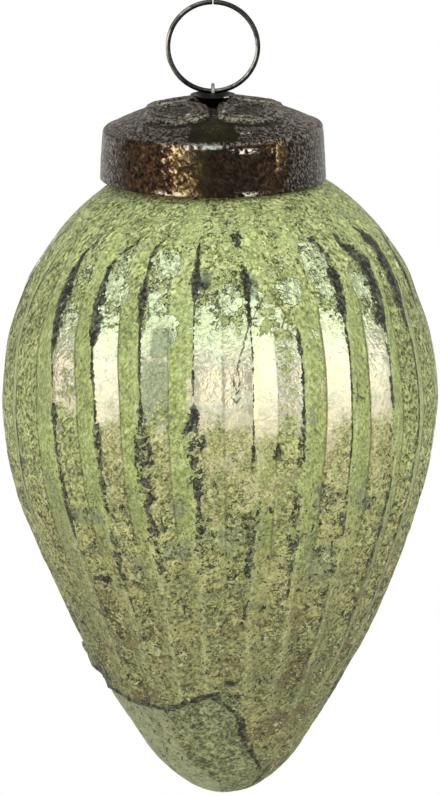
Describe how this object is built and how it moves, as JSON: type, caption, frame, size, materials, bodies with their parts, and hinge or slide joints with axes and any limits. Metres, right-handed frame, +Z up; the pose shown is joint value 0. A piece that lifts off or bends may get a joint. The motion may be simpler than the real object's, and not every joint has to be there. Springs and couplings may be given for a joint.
{
  "type": "christmas bauble",
  "caption": "Fluted teardrop glass bauble, closed by a stamped brass cap on a sprung wire and hung by a round wire ring.",
  "frame": {"origin": "inner top of the hanging ring, where a hook or a twig carries it", "axes": "+Z up along the ring's and the cap's axis; the ring lies in the XZ plane and -Y is the pictured front; the glass's own axis is parallel to Z at x = +1.2 mm"},
  "size_m": [0.0699, 0.07, 0.1295],
  "materials": {
    "ring_steel": "dark drawn wire, slightly glossy",
    "clip_steel": "dull spring wire",
    "collar_brass": "blackened brass",
    "cap_brass": "dark antique patina, stippled, gold where it is rubbed",
    "mercury_glass": "silvered inside, worn sage-green paint outside"
  },
  "bodies": {
    "ring": {"hanging_ring": "ring_steel"},
    "clip": {"spring_clip": "clip_steel"},
    "cap": {"stamped_cap": "cap_brass", "cap_collar": "collar_brass"},
    "glass": {"glass_body": "mercury_glass"}
  },
  "joints": [
    {"name": "ring_swing", "type": "hinge", "parent": "ring", "child": "clip", "pos_m": [0, 0, -0.0138], "axis": [1, 0, 0], "range_deg": [-85, 85]},
    {"name": "clip_turn", "type": "hinge", "parent": "clip", "child": "cap", "pos_m": [0, 0, -0.0138], "axis": [0, 0, 1], "continuous": true},
    {"name": "cap_pull", "type": "slide", "parent": "cap", "child": "glass", "axis": [0, 0, -1], "range_m": [0, 0.025]}
  ]
}
